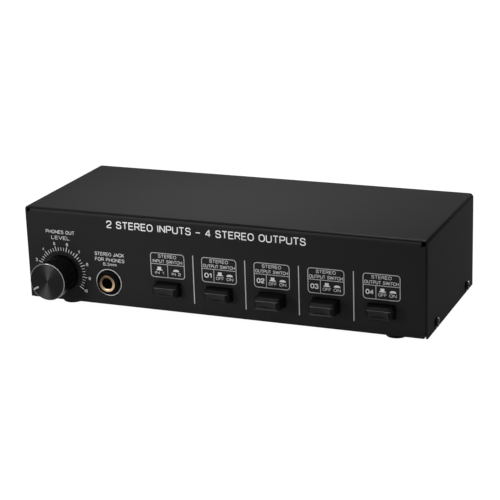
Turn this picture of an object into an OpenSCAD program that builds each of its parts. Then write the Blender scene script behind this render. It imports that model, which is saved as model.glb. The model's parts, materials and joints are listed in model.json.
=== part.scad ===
// Speaker selector switch: a folded steel case with a headphone level knob, a headphone jack,
// five latching push buttons and six four-way spring terminal blocks on the back.
// Millimetres. +Z is up, +Y runs from the front panel to the back. The origin is on the surface
// that the feet stand on, midway in width and midway between the knob's face and the lever tips.

/* [Case] */
// Width over the sides of the cover
case_w = 250; // [246:1:320]
// Depth from the face of the front panel to the face of the rear panel
case_d = 100; // [92:1:180]
// Height of the case without its feet
case_h = 57.5; // [55:0.5:90]
// Thickness of the sheet steel
sheet_t = 1.2; // [0.8:0.1:1.6]
// Outside radius of the bends along the top of the cover
cover_bend_r = 2.4; // [1.8:0.1:5]
// Outside radius of the bends of the chassis
chassis_bend_r = 1.8; // [1.7:0.1:3]
// Air gap between the cover and the chassis inside it
cover_gap = 0.15; // [0.05:0.05:0.4]
// How far the edges of the cover stand back from the panel faces
cover_setback = 1.4; // [0:0.1:3]
// Depth of the flanges turned in round both panels
flange_d = 9; // [6:0.5:12]
// Height of the flanges turned up along the bottom
side_flange_h = 12; // [8:0.5:20]
// Side of the relief notch where two bends meet
notch = 2.4; // [1:0.1:4]

/* [Feet] */
// Height of a rubber foot
foot_h = 4.5; // [3:0.5:12]
// Radius of a foot where it meets the case
foot_r = 7; // [5.5:0.5:12]
// Distance of a foot's centre from the side of the case
foot_inset_x = 22; // [14:1:40]
// Distance of a foot's centre from the front or the rear face
foot_inset_y = 14.5; // [12:0.5:30]

/* [Screws] */
// Radius of a screw's shank
screw_r = 1.5; // [1.2:0.1:2]
// Radius of a screw's pan head
head_r = 2.9; // [2.4:0.1:3.4]
// Height of a screw's pan head
head_h = 2; // [1.2:0.1:2.6]
// Height of the cover screws above the underside of the case
cover_screw_h = 4.7; // [4:0.1:7]
// Distance of the cover screws from the front or the rear face
cover_screw_inset = 17; // [13:0.5:30]
// Length of a cover screw under its head
cover_screw_len = 6; // [4:0.5:10]

/* [Knob and level control] */
// Distance of the knob's axis from the left side of the case
knob_inset = 23.4; // [20:0.2:30]
// Height of the knob's axis above the underside of the case
knob_h = 17.8; // [15:0.2:30]
// Radius of the knob
knob_r = 11.4; // [9:0.1:14]
// Distance from the panel to the knob's face
knob_out = 19; // [16:0.5:30]
// Gap between the panel and the knob
knob_gap = 1; // [0.5:0.1:2]
// Bevel round the knob's face
knob_bevel = 0.6; // [0.3:0.1:1.2]
// Angle of the pointer at rest, clockwise from straight up
pointer_angle = -120; // [-135:1:135]
// Length of the pointer line
pointer_len = 3.8; // [2:0.1:6]
// Width of the pointer line
pointer_w = 1.1; // [0.6:0.1:2]
// Radius of the control's shaft
shaft_r = 3; // [2:0.1:4]
// Width of the control's housing
pot_w = 17; // [14:0.5:24]
// Depth of the control's housing
pot_d = 10; // [8:0.5:16]

/* [Headphone jack] */
// Distance of the jack's axis from the left side of the case
jack_inset = 54.4; // [50:0.2:60]
// Radius of the hole that takes the plug
jack_bore_r = 3.25; // [3.2:0.05:3.4]
// Outside radius of the gilt sleeve
sleeve_r = 4.6; // [4:0.1:5.5]
// How far the sleeve stands out of the panel
sleeve_out = 2.8; // [2:0.1:5]
// Outside radius of the black ring nut
ring_nut_r = 7.4; // [6.5:0.1:8]
// Thickness of the black ring nut
ring_nut_t = 2; // [1:0.1:3]
// Length of the jack's housing
jack_d = 25; // [20:0.5:35]

/* [Push buttons] */
// Distance of the last button's centre from the right side of the case
button_inset = 26.2; // [20:0.2:40]
// Distance from the jack to the first button
button_start = 39; // [34:0.2:45]
// Height of the buttons and the jack above the underside of the case
control_h = 14.5; // [13:0.1:25]
// Width of a button cap
cap_w = 15.6; // [10:0.2:18]
// Height of a button cap
cap_h = 7.6; // [6.5:0.1:12]
// Length of a button cap
cap_len = 18; // [15:0.5:24]
// How far a released button stands out of the panel
button_out = 10.5; // [9:0.1:14]
// Travel from released to latched
latch_travel = 3.5; // [2:0.1:5]
// Further travel past the latched place
over_travel = 0.5; // [0.2:0.1:1]
// Clearance between a cap and its window in the panel
window_gap = 0.4; // [0.2:0.1:0.8]
// Bevel at the sides of a cap's face
cap_bevel_x = 1.9; // [1:0.1:3]
// Bevel above and below a cap's face
cap_bevel_z = 1.1; // [0.5:0.1:2]
// Depth of the finger hollow in a cap's face
cap_dish = 0.6; // [0.3:0.1:1]

/* [Switches and boards] */
// Width of a switch housing
switch_w = 13; // [11:0.5:20]
// Length of a switch housing
switch_d = 24; // [18:0.5:30]
// Height of the switch and jack housings
part_h = 16; // [14:0.5:18]
// Width of a switch plunger
plunger_w = 4; // [3:0.1:5]
// Thickness of the circuit boards
board_t = 1.6; // [1:0.2:2.4]
// Depth of the front board
front_board_d = 46; // [44:1:60]

/* [Terminal blocks] */
// Distance of the end blocks' centres from the sides of the case
block_inset = 25; // [24:0.5:30]
// Width of a block
block_w = 33; // [31:0.5:35]
// Height of a block between its screw ears
block_h = 36; // [36:0.5:40]
// Rim of a block's ears round the heads of their screws
ear_rim = 0.1; // [0.1:0.1:1]
// How far a block's flange reaches past its sides
block_flange = 0.8; // [0.5:0.1:1]
// Thickness of a block's side walls, outside its pockets
block_side = 2.9; // [2:0.1:3.2]
// Thickness of the flange that lies on the rear panel
block_flange_t = 2.5; // [1.5:0.1:4]
// How far a block stands out of its flange
block_out = 6; // [5:0.5:12]
// How deep a block reaches behind the rear panel
block_in = 8.4; // [8:0.2:14]
// Width of the pocket that holds a lever
pocket_w = 11; // [8:0.2:12]
// Height of the pocket that holds a lever
pocket_h = 8; // [7.6:0.1:9]
// Radius of a wire hole
wire_r = 1.7; // [1:0.1:1.9]
// Clearance at each side of a lever
lever_gap = 0.4; // [0.2:0.1:0.8]
// Distance from a lever's pivot to the centre of its tip
lever_len = 10.5; // [9:0.5:14]
// Thickness of a lever
lever_t = 2; // [1.6:0.1:2.6]
// Angle of a lever at rest, above level
lever_angle = 30; // [20:1:34]
// Depth of a lever's pivot inside its pocket
pivot_depth = 4.5; // [4:0.1:6]
// Radius of a lever's pivot pin
pivot_r = 1.1; // [0.8:0.1:1.3]

/* [Hidden] */
$fn = 48;
button_names = ["input", "output_1", "output_2", "output_3", "output_4"];
// 1 where the button is latched in, 0 where it stands out
button_latched = [1, 1, 0, 0, 1];
block_names = ["in_1", "in_2", "out_1", "out_2", "out_3", "out_4"];
channel_names = ["right", "left"];
colour_names = ["black", "red"];
BUTTONS = [0:len(button_names) - 1];
BLOCKS = [0:len(block_names) - 1];
SIDES = [0, 1];

function cap_name(k) = str(button_names[k], "_button");
function plunger_name(k) = str(button_names[k], "_plunger");
function lever_name(b, c, r) = str("lever_", block_names[b], "_", channel_names[c], "_", colour_names[r]);

// Small clearance between pieces that touch or screw together
fit_gap = 0.05;
// Clearance of a cover screw in the cover
screw_room = 0.2;
// Overshoot of a cut past the face that it opens
cut = 1;
// Facets along one bend of the sheet
bend_steps = 6;
// Taper of a foot, and the room round and under its screw's head
foot_taper = 0.8;
foot_recess = 0.5;

// Levers
barrel_r = 2.2;
tip_r = lever_t / 2 + 0.1;
block_face = block_flange_t + block_out;
lever_reach = block_face - pivot_depth + lever_len * cos(lever_angle) + tip_r;

// Places along the depth
overall_d = knob_out + case_d + lever_reach;
front_y = knob_out - overall_d / 2;
rear_y = front_y + case_d;
inner_front_y = front_y + sheet_t;
inner_rear_y = rear_y - sheet_t;

// Places in height
case_z = foot_h;
case_top = case_z + case_h;
floor_z = case_z + sheet_t;
chassis_top = case_top - sheet_t - cover_gap;
control_z = case_z + control_h;
knob_z = case_z + knob_h;
board_top = control_z - part_h / 2;
board_z = board_top - board_t;
block_z = case_z + case_h / 2;

// Places across the width
panel_w = case_w - 2 * (sheet_t + cover_gap);
knob_x = -case_w / 2 + knob_inset;
jack_x = -case_w / 2 + jack_inset;
first_button_x = jack_x + button_start;
last_button_x = case_w / 2 - button_inset;
function button_x(k) = first_button_x + (last_button_x - first_button_x) * k / (len(button_names) - 1);
block_pitch = (case_w - 2 * block_inset) / (len(block_names) - 1);
function block_x(b) = (b - (len(block_names) - 1) / 2) * block_pitch;

// Thickness of the closed end of a housing
housing_wall = 2;

// Level control
bush_r = shaft_r + 0.6;
bush_out = 5.5;
washer_t = 0.6;
washer_r = bush_r + 2.2;
nut_t = 2;
nut_r = 5.8;
knob_recess_r = 7;
knob_recess = bush_out + 0.7;
knob_face_t = 3.5;
shaft_end = knob_out - knob_face_t;
grub_r = 1.5;
grub_sink = 1.5;
grub_y = -(shaft_end + knob_gap + knob_recess) / 2;
pointer_depth = 0.4;

// Buttons and their switches
function cap_out(k) = button_out - button_latched[k] * latch_travel;
cap_back_deepest = cap_len - button_out + latch_travel + over_travel;
cap_room = 2;
switch_y = front_y + cap_back_deepest + cap_room;
socket_d = 4;
plunger_grip = 3;
plunger_len = socket_d + switch_y - (front_y - button_out + cap_len) + plunger_grip;
channel_gap = 0.2;
channel_end = 1;
channel_d = plunger_grip + latch_travel + over_travel + channel_end;

// Boards
board_side_gap = 11;
front_board_gap = 5;
front_board_y = front_y + front_board_gap;
front_board_w = case_w - 2 * board_side_gap;
rear_board_y = inner_rear_y - block_in - board_t;
rear_board_w = (len(block_names) - 1) * block_pitch + block_w;
spacer_r = 3;
board_screw_gap = 0.5;
spacer_edge = 4;
spacer_x = [spacer_edge - front_board_w / 2, button_x(2), front_board_w / 2 - spacer_edge];
spacer_y = front_board_y + front_board_d - spacer_edge;
resistor_size = [22, 9, 9];
resistor_gap = 3;
resistor_edge = 4;
resistor_x = jack_x + part_h / 2 + resistor_edge;
resistor_y = front_board_y + front_board_d - resistor_size[1] - resistor_edge;
ribbon_w = 26;
ribbon_t = 0.9;
ribbon_rise = 14;
ribbon_x = block_pitch * 2;
ribbon_edge = 3;
ribbon_y = front_board_y + front_board_d - ribbon_edge;

// Terminal cells, measured from the centre of a block
cell_x = block_w / 2 - block_side - pocket_w / 2;
cell_z = block_h / 4;
pocket_floor = -1;
barrel_room = 0.4;
pivot_lift = barrel_r + barrel_room;
hole_drop = 4.4;
wire_depth = block_face + 1;
pin_side = 1.2;
pin_room = 0.2;
solder_pin_w = 1.2;
pin_out = 3;
ear_screw_z = block_h / 2 + ear_rim + head_r;
ear_h = 2 * (ear_screw_z + head_r + ear_rim);
screw_grip = 3.3;
ear_screw_len = block_flange_t + sheet_t + screw_grip;
function cell_centre(b, c, r) =
    [block_x(b) + (2 * c - 1) * cell_x, rear_y + block_face, block_z + (2 * r - 1) * cell_z];

// Points of an arc about (x, y), from angle a0 to a1
function arc(x, y, r, a0, a1) =
    [for (i = [0:bend_steps]) let (a = a0 + (a1 - a0) * i / bend_steps) [x + r * cos(a), y + r * sin(a)]];

// A rectangle with its four corners rounded to r, or only the upper or lower two
module round_box(x0, x1, y0, y1, r, upper = true, lower = true) {
    polygon(concat(
        lower ? arc(x0 + r, y0 + r, r, 180, 270) : [[x0, y0]],
        lower ? arc(x1 - r, y0 + r, r, 270, 360) : [[x1, y0]],
        upper ? arc(x1 - r, y1 - r, r, 0, 90) : [[x1, y1]],
        upper ? arc(x0 + r, y1 - r, r, 90, 180) : [[x0, y1]]
    ));
}

// A cylinder along +Y from y0 to y1
module rod(r, y0, y1, x = 0, z = 0) {
    translate([x, y0, z]) rotate([-90, 0, 0]) cylinder(r = r, h = y1 - y0);
}

// A box from one corner to the other
module box(low, high) {
    translate(low) cube(high - low);
}

// Pan-head screw along -Z, with the underside of its head at z = 0
module pan_screw(length) {
    slot_w = 0.8;
    slot_len = head_r * 1.1;
    difference() {
        union() {
            cylinder(r = head_r, h = head_h * 0.5);
            translate([0, 0, head_h * 0.5]) cylinder(r1 = head_r, r2 = head_r * 0.62, h = head_h * 0.5);
            translate([0, 0, -length]) cylinder(r = screw_r, h = length);
        }
        for (a = [0, 90]) rotate(a) translate([-slot_len / 2, -slot_w / 2, head_h * 0.5])
            cube([slot_len, slot_w, head_h]);
    }
}

// The block that both bend radii of the chassis share, drawn in by t on every side
module folded_block(t, r) {
    x = panel_w / 2 - t;
    y0 = front_y + t;
    y1 = rear_y - t;
    z0 = case_z + t;
    z1 = chassis_top - t;
    intersection() {
        translate([0, 0, z0]) linear_extrude(z1 - z0) round_box(-x, x, y0, y1, r);
        translate([-x, 0, 0]) rotate([90, 0, 90]) linear_extrude(2 * x) round_box(y0, y1, z0, z1, r);
        translate([0, y1, 0]) rotate([90, 0, 0]) linear_extrude(y1 - y0) round_box(-x, x, z0, z1, r);
    }
}

// Openings through the front panel
module front_holes() {
    y0 = front_y - cut;
    y1 = inner_front_y + cut;
    rod(bush_r + fit_gap, y0, y1, knob_x, knob_z);
    rod(sleeve_r + fit_gap, y0, y1, jack_x, control_z);
    for (k = BUTTONS) {
        half = [cap_w / 2 + window_gap, 0, cap_h / 2 + window_gap];
        box([button_x(k), y0, control_z] - half, [button_x(k), y1, control_z] + half);
    }
}

// Openings through the rear panel
module rear_holes() {
    y0 = inner_rear_y - cut;
    y1 = rear_y + cut;
    half = [block_w / 2 + fit_gap, 0, block_h / 2 + fit_gap];
    for (b = BLOCKS) {
        box([block_x(b), y0, block_z] - half, [block_x(b), y1, block_z] + half);
        for (s = [-1, 1]) rod(screw_r + fit_gap, y0, y1, block_x(b), block_z + s * ear_screw_z);
    }
}

module at_feet() {
    for (sx = [-1, 1]) for (y = [front_y + foot_inset_y, rear_y - foot_inset_y])
        translate([sx * (case_w / 2 - foot_inset_x), y, 0]) children();
}

// Places each child on the outer face of the cover's sides, with +Z pointing outwards
module at_cover_screws() {
    for (sx = [-1, 1]) for (y = [front_y + cover_screw_inset, rear_y - cover_screw_inset])
        translate([sx * case_w / 2, y, case_z + cover_screw_h]) rotate([0, sx * 90, 0]) children();
}

module at_spacers() {
    for (x = spacer_x) translate([x, spacer_y, 0]) children();
}

module chassis() {
    relief = 1.2;
    color("#2b2b2b") difference() {
        folded_block(0, chassis_bend_r);
        folded_block(sheet_t, chassis_bend_r - sheet_t);
        box([-case_w, front_y + flange_d, case_z + side_flange_h], [case_w, rear_y - flange_d, case_top]);
        for (sx = [-1, 1]) {
            edge = sx * panel_w / 2;
            // Gaps between the flanges of the panels and those of the bottom
            for (y = [front_y + flange_d, rear_y - flange_d])
                box([edge - notch, y - relief / 2, floor_z], [edge + notch, y + relief / 2, case_top]);
            for (y = [front_y + chassis_bend_r, rear_y - flange_d - cut])
                box([edge - notch, y, floor_z],
                    [edge + notch, y + flange_d - chassis_bend_r + cut, floor_z + relief]);
            // Notches where the upper and the side flanges meet
            for (y = [front_y - cut, rear_y - flange_d - cut])
                box([edge - notch, y, chassis_top - notch], [edge + notch, y + flange_d + 2 * cut, case_top]);
        }
        front_holes();
        rear_holes();
        at_feet() translate([0, 0, case_z - cut]) cylinder(r = screw_r + fit_gap, h = sheet_t + 2 * cut);
        at_cover_screws() translate([0, 0, -3 * sheet_t]) cylinder(r = screw_r + fit_gap, h = 3 * sheet_t);
    }
}

module top_cover() {
    x = case_w / 2;
    y0 = front_y + cover_setback;
    y1 = rear_y - cover_setback;
    color("#3a3a3a") difference() {
        translate([0, y1, 0]) rotate([90, 0, 0]) linear_extrude(y1 - y0)
            round_box(-x, x, case_z, case_top, cover_bend_r, lower = false);
        translate([0, y1 + cut, 0]) rotate([90, 0, 0]) linear_extrude(y1 - y0 + 2 * cut)
            round_box(sheet_t - x, x - sheet_t, case_z - cut, case_top - sheet_t, cover_bend_r - sheet_t,
                lower = false);
        at_cover_screws() translate([0, 0, -sheet_t - cover_gap / 2])
            cylinder(r = screw_r + screw_room, h = sheet_t + cut);
    }
}

module cover_screws() {
    color("#1c1c1c") at_cover_screws() pan_screw(cover_screw_len);
}

module rubber_feet() {
    color("#141414") at_feet() difference() {
        cylinder(r1 = foot_r - foot_taper, r2 = foot_r, h = foot_h);
        translate([0, 0, -cut]) cylinder(r = head_r + foot_recess, h = cut + head_h + foot_recess);
        cylinder(r = screw_r + fit_gap, h = foot_h + cut);
    }
}

module foot_screws() {
    color("#8c8c8c") at_feet() translate([0, 0, head_h + foot_recess]) rotate([180, 0, 0])
        pan_screw(foot_h + sheet_t);
}

// Places each child at the knob's axis, with +Y along it and +Z at the pointer
module at_knob() {
    translate([knob_x, front_y, knob_z]) rotate([0, pointer_angle, 0]) children();
}

module knob() {
    color("#262626") at_knob() difference() {
        union() {
            rod(knob_r, knob_bevel - knob_out, -knob_gap);
            translate([0, knob_bevel - knob_out, 0]) rotate([90, 0, 0])
                cylinder(r1 = knob_r, r2 = knob_r - knob_bevel, h = knob_bevel);
        }
        rod(knob_recess_r, -knob_gap - knob_recess, cut);
        rod(shaft_r + fit_gap, -shaft_end, cut);
        translate([0, grub_y, 0]) cylinder(r = grub_r + fit_gap, h = knob_r + cut);
        box([-pointer_w / 2, -knob_out - cut, knob_r - knob_bevel - pointer_len],
            [pointer_w / 2, pointer_depth - knob_out, knob_r - knob_bevel]);
    }
}

module pointer_inlay() {
    color("white") at_knob() box([-pointer_w / 2, -knob_out, knob_r - knob_bevel - pointer_len],
        [pointer_w / 2, pointer_depth - knob_out, knob_r - knob_bevel]);
}

module knob_grub_screw() {
    color("#555555") at_knob() translate([0, grub_y, shaft_r])
        cylinder(r = grub_r, h = knob_r - shaft_r - grub_sink);
}

module pot_shaft() {
    color("silver") at_knob() rod(shaft_r, -shaft_end, sheet_t + pot_d - housing_wall);
}

module pot_body() {
    color("#4a4f55") difference() {
        union() {
            box([knob_x - pot_w / 2, inner_front_y, board_top],
                [knob_x + pot_w / 2, inner_front_y + pot_d, knob_z + pot_w / 2]);
            rod(bush_r, front_y - bush_out, inner_front_y + 1, knob_x, knob_z);
        }
        rod(shaft_r + fit_gap, front_y - bush_out - cut, inner_front_y + pot_d - housing_wall,
            knob_x, knob_z);
    }
}

module pot_washer() {
    color("silver") difference() {
        rod(washer_r, front_y - washer_t, front_y, knob_x, knob_z);
        rod(bush_r + fit_gap, front_y - washer_t - cut, front_y + cut, knob_x, knob_z);
    }
}

module pot_nut() {
    y1 = front_y - washer_t;
    color("silver") difference() {
        translate([knob_x, y1, knob_z]) rotate([90, 0, 0]) cylinder(r = nut_r, h = nut_t, $fn = 6);
        rod(bush_r + fit_gap, y1 - nut_t - cut, y1 + cut, knob_x, knob_z);
    }
}

module jack_body() {
    plug_room = jack_bore_r + 0.4;
    color("#1a1a1a") difference() {
        box([jack_x - part_h / 2, inner_front_y, board_top],
            [jack_x + part_h / 2, inner_front_y + jack_d, control_z + part_h / 2]);
        rod(plug_room, inner_front_y - cut, inner_front_y + jack_d - housing_wall, jack_x, control_z);
    }
}

module jack_sleeve() {
    color("goldenrod") difference() {
        rod(sleeve_r, front_y - sleeve_out, inner_front_y, jack_x, control_z);
        rod(jack_bore_r, front_y - sleeve_out - cut, inner_front_y + cut, jack_x, control_z);
    }
}

module jack_ring_nut() {
    color("#101010") difference() {
        rod(ring_nut_r, front_y - ring_nut_t, front_y, jack_x, control_z);
        rod(sleeve_r + fit_gap, front_y - ring_nut_t - cut, front_y + cut, jack_x, control_z);
    }
}

module jack_contacts() {
    strip_t = 0.4;
    strip_w = 2.5;
    strip_top = 3;
    color("gold") for (i = [0:2]) for (sx = [-1, 1]) {
        x = jack_x + sx * (part_h / 2 + strip_t / 2);
        y = inner_front_y + jack_d * (0.3 + 0.25 * i);
        box([x - strip_t / 2, y - strip_w / 2, board_top],
            [x + strip_t / 2, y + strip_w / 2, control_z + strip_top]);
    }
}

module front_board() {
    color("#2f6b3a") difference() {
        box([-front_board_w / 2, front_board_y, board_z],
            [front_board_w / 2, front_board_y + front_board_d, board_top]);
        at_spacers() translate([0, 0, board_z - cut]) cylinder(r = screw_r + fit_gap, h = board_t + 2 * cut);
    }
}

module rear_board() {
    color("#2f6b3a") difference() {
        box([-rear_board_w / 2, rear_board_y, block_z - block_h / 2],
            [rear_board_w / 2, rear_board_y + board_t, block_z + block_h / 2]);
        at_terminal_pins(fit_gap);
    }
}

module board_spacers() {
    color("silver") at_spacers() difference() {
        translate([0, 0, floor_z]) cylinder(r = spacer_r, h = board_z - floor_z);
        translate([0, 0, floor_z]) cylinder(r = screw_r + fit_gap, h = board_z - floor_z + cut);
    }
}

module board_screws() {
    color("#8c8c8c") at_spacers() translate([0, 0, board_top])
        pan_screw(board_top - floor_z - board_screw_gap);
}

module resistors() {
    color("#e8e4d8") for (i = [0, 1])
        translate([resistor_x + i * (resistor_size[0] + resistor_gap), resistor_y, board_top])
            cube(resistor_size);
}

module link_ribbons() {
    y0 = ribbon_y;
    z1 = board_top + ribbon_rise;
    color("#9a9a9a") for (sx = [-1, 1]) translate([sx * ribbon_x - ribbon_w / 2, 0, 0]) rotate([90, 0, 90])
        linear_extrude(ribbon_w) polygon([
            [y0, board_top], [y0 + ribbon_t, board_top], [y0 + ribbon_t, z1 - ribbon_t],
            [rear_board_y, z1 - ribbon_t], [rear_board_y, z1], [y0, z1]
        ]);
}

module switch_bodies() {
    half = plunger_w / 2 + channel_gap;
    color("#20252c") for (k = BUTTONS) translate([button_x(k), 0, 0]) difference() {
        box([-switch_w / 2, switch_y, board_top],
            [switch_w / 2, switch_y + switch_d, control_z + part_h / 2]);
        box([-half, switch_y - cut, control_z - half], [half, switch_y + channel_d, control_z + half]);
    }
}

// A cap with its face bevelled all round, a shallow finger hollow and a socket for the plunger
module button_cap(k) {
    y0 = front_y - cap_out(k);
    y1 = y0 + cap_len;
    bevel = 1.3;
    dish_rim = 0.4;
    w = cap_w / 2;
    h = cap_h / 2;
    dish_w = w - cap_bevel_x;
    dish_h = h - cap_bevel_z;
    dish_r = (dish_w * dish_w + cap_dish * cap_dish) / (2 * cap_dish);
    socket = plunger_w / 2 + fit_gap;
    color("#181818") translate([button_x(k), 0, control_z]) difference() {
        intersection() {
            translate([0, 0, -h]) linear_extrude(2 * h)
                polygon([[-w, y1], [-w, y0 + bevel], [-dish_w, y0], [dish_w, y0], [w, y0 + bevel], [w, y1]]);
            translate([-w, 0, 0]) rotate([90, 0, 90]) linear_extrude(2 * w)
                polygon([[y1, -h], [y0 + bevel, -h], [y0, -dish_h], [y0, dish_h], [y0 + bevel, h], [y1, h]]);
        }
        translate([0, y0 + cap_dish - dish_r, dish_rim - dish_h])
            cylinder(r = dish_r, h = 2 * (dish_h - dish_rim), $fn = 180);
        box([-socket, y1 - socket_d, -socket], [socket, y1 + cut, socket]);
    }
}

module plunger(k) {
    y0 = front_y - cap_out(k) + cap_len - socket_d;
    half = plunger_w / 2;
    color("#d8d8d0") translate([button_x(k), 0, control_z])
        box([-half, y0, -half], [half, y0 + plunger_len, half]);
}

module terminal_blocks() {
    face = rear_y + block_face;
    color("#1b1b1b") for (b = BLOCKS) difference() {
        union() {
            box([block_x(b) - block_w / 2, inner_rear_y - block_in, block_z - block_h / 2],
                [block_x(b) + block_w / 2, face, block_z + block_h / 2]);
            box([block_x(b) - block_w / 2 - block_flange, rear_y, block_z - ear_h / 2],
                [block_x(b) + block_w / 2 + block_flange, rear_y + block_flange_t, block_z + ear_h / 2]);
        }
        for (s = [-1, 1]) rod(screw_r + fit_gap, rear_y - cut, rear_y + block_flange_t + cut,
            block_x(b), block_z + s * ear_screw_z);
        for (c = SIDES) for (r = SIDES) translate(cell_centre(b, c, r)) {
            box([-pocket_w / 2, -pivot_depth - barrel_r - barrel_room, pocket_floor],
                [pocket_w / 2, cut, pocket_floor + pocket_h]);
            translate([-pocket_w / 2 - pin_side, -pivot_depth, pocket_floor + pivot_lift]) rotate([0, 90, 0])
                cylinder(r = pivot_r + fit_gap, h = pocket_w + 2 * pin_side);
            rod(wire_r, -wire_depth, cut, 0, -hole_drop);
        }
    }
}

module terminal_screws() {
    color("#8c8c8c") for (b = BLOCKS) for (s = [-1, 1])
        translate([block_x(b), rear_y + block_flange_t, block_z + s * ear_screw_z]) rotate([-90, 0, 0])
            pan_screw(ear_screw_len);
}

// The solder pin behind each wire hole, made thicker by grow
module at_terminal_pins(grow = 0) {
    half = solder_pin_w / 2 + grow;
    y0 = rear_board_y - pin_out - grow;
    for (b = BLOCKS) for (c = SIDES) for (r = SIDES) {
        at = cell_centre(b, c, r);
        box([at[0] - half, y0, at[2] - hole_drop - half],
            [at[0] + half, rear_board_y + board_t, at[2] - hole_drop + half]);
    }
}

module terminal_pins() {
    color("gold") at_terminal_pins();
}

// A sprung lever: barrel and pins on the pivot, and a flat tongue that ends in a round bead
module terminal_lever(b, c, r) {
    w = pocket_w - 2 * lever_gap;
    pin_w = pocket_w + 2 * (pin_side - pin_room);
    at = cell_centre(b, c, r) + [0, -pivot_depth, pocket_floor + pivot_lift];
    color(r == 1 ? "#b3161b" : "#151515") translate(at) rotate([lever_angle, 0, 0]) union() {
        translate([-w / 2, 0, 0]) rotate([0, 90, 0]) cylinder(r = barrel_r, h = w);
        translate([-pin_w / 2, 0, 0]) rotate([0, 90, 0]) cylinder(r = pivot_r, h = pin_w);
        translate([-w / 2, lever_len, 0]) rotate([0, 90, 0]) cylinder(r = tip_r, h = w);
        box([-w / 2, 0, -lever_t / 2], [w / 2, lever_len, lever_t / 2]);
    }
}

chassis();
top_cover();
cover_screws();
rubber_feet();
foot_screws();
knob();
pointer_inlay();
knob_grub_screw();
pot_shaft();
pot_body();
pot_washer();
pot_nut();
jack_body();
jack_sleeve();
jack_ring_nut();
jack_contacts();
front_board();
rear_board();
board_spacers();
board_screws();
resistors();
link_ribbons();
switch_bodies();
terminal_blocks();
terminal_screws();
terminal_pins();
for (k = BUTTONS) button_cap(k);
for (k = BUTTONS) plunger(k);
for (b = BLOCKS) for (c = SIDES) for (r = SIDES)
    terminal_lever(b, c, r);
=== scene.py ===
import json
import math

import bmesh
import bpy
import numpy as np
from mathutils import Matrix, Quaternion, Vector


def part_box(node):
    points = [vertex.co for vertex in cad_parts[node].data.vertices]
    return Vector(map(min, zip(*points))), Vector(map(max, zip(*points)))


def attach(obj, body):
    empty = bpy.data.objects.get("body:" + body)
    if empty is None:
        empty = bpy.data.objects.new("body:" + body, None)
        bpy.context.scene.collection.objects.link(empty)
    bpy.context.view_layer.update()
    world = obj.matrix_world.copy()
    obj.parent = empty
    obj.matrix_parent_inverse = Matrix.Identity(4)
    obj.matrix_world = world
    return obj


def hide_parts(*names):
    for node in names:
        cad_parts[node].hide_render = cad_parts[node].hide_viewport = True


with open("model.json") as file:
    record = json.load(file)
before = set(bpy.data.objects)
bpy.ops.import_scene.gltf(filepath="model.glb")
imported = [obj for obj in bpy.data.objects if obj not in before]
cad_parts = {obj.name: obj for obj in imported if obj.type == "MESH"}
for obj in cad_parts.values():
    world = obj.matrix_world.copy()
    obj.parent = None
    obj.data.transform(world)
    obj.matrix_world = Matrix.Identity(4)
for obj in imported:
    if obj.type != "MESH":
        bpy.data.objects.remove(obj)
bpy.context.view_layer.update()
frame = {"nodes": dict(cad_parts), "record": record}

# Camera
# A long lens about a metre off, to the right of the front and above it, rolled by two degrees.
# It aims at a point inside the case that is measured from the front panel and the underside.
MM = 0.001
case_low, case_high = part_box("chassis")
aim_x, aim_depth, aim_height = -8.42 * MM, 70 * MM, 18.74 * MM
target = Vector((aim_x, case_low.y + aim_depth, case_low.z + aim_height))
azimuth, elevation, roll = math.radians(22.653), math.radians(17.745), math.radians(-1.913)
distance = 992.4 * MM
back = Vector((math.sin(azimuth) * math.cos(elevation), -math.cos(azimuth) * math.cos(elevation),
               math.sin(elevation)))
camera = bpy.data.objects.new("camera", bpy.data.cameras.new("camera"))
bpy.context.collection.objects.link(camera)
camera.data.sensor_fit = "HORIZONTAL"
camera.data.sensor_width = 36
camera.data.lens = 115.733
camera.rotation_mode = "QUATERNION"
camera.rotation_quaternion = back.to_track_quat("Z", "Y") @ Quaternion((0, 0, 1), roll)
camera.location = target + back * distance
bpy.context.scene.camera = camera

# Light and floor
# Small lamps above and in front, broad ones to the left, to the right and behind, and a dim room. The
# floor and the surroundings show white to the lens and in reflections, and the floor keeps a faint
# shadow.
scene = bpy.context.scene
scene.view_settings.view_transform = "Standard"


class Wire:
    """A shader socket. Arithmetic on wires and numbers adds Math nodes."""

    def __init__(self, tree, socket=None):
        self.tree = tree
        self.socket = socket

    def node(self, kind, settings, sockets, out=0):
        """Adds one node: its settings first, then a value or a wire for each socket named."""
        made = self.tree.nodes.new("ShaderNode" + kind)
        for key, value in settings.items():
            setattr(made, key, value)
        for key, value in sockets.items():
            if isinstance(value, Wire):
                self.tree.links.new(value.socket, made.inputs[key])
            else:
                made.inputs[key].default_value = value
        return Wire(self.tree, made.outputs[out]) if made.outputs else None

    def math(self, operation, first, second=0.0):
        """Adds one Math node on two values or wires."""
        return self.node("Math", {"operation": operation}, {0: first, 1: second})

    def __add__(self, other):
        return self.math("ADD", self, other)

    __radd__ = __add__

    def __sub__(self, other):
        return self.math("SUBTRACT", self, other)

    def __rsub__(self, other):
        return self.math("SUBTRACT", other, self)

    def __mul__(self, other):
        return self.math("MULTIPLY", self, other)

    __rmul__ = __mul__


def shows_backdrop(start):
    """1 for the rays that see the backdrop: those from the lens, in reflections and through glass."""
    lens, mirror, glass = [start.node("LightPath", {}, {}, f"Is {kind} Ray")
                           for kind in ("Camera", "Glossy", "Transmission")]
    return lens.math("MINIMUM", lens + mirror + glass, 1.0)


room_light = 0.12
world = bpy.data.worlds.new("room")
world.use_nodes = True
world.node_tree.nodes.clear()
start = Wire(world.node_tree)
sky = start.node("Background", {}, {"Color": (1, 1, 1, 1),
                                    "Strength": shows_backdrop(start) * (1 - room_light) + room_light})
start.node("OutputWorld", {}, {"Surface": sky})
scene.world = world

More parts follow.
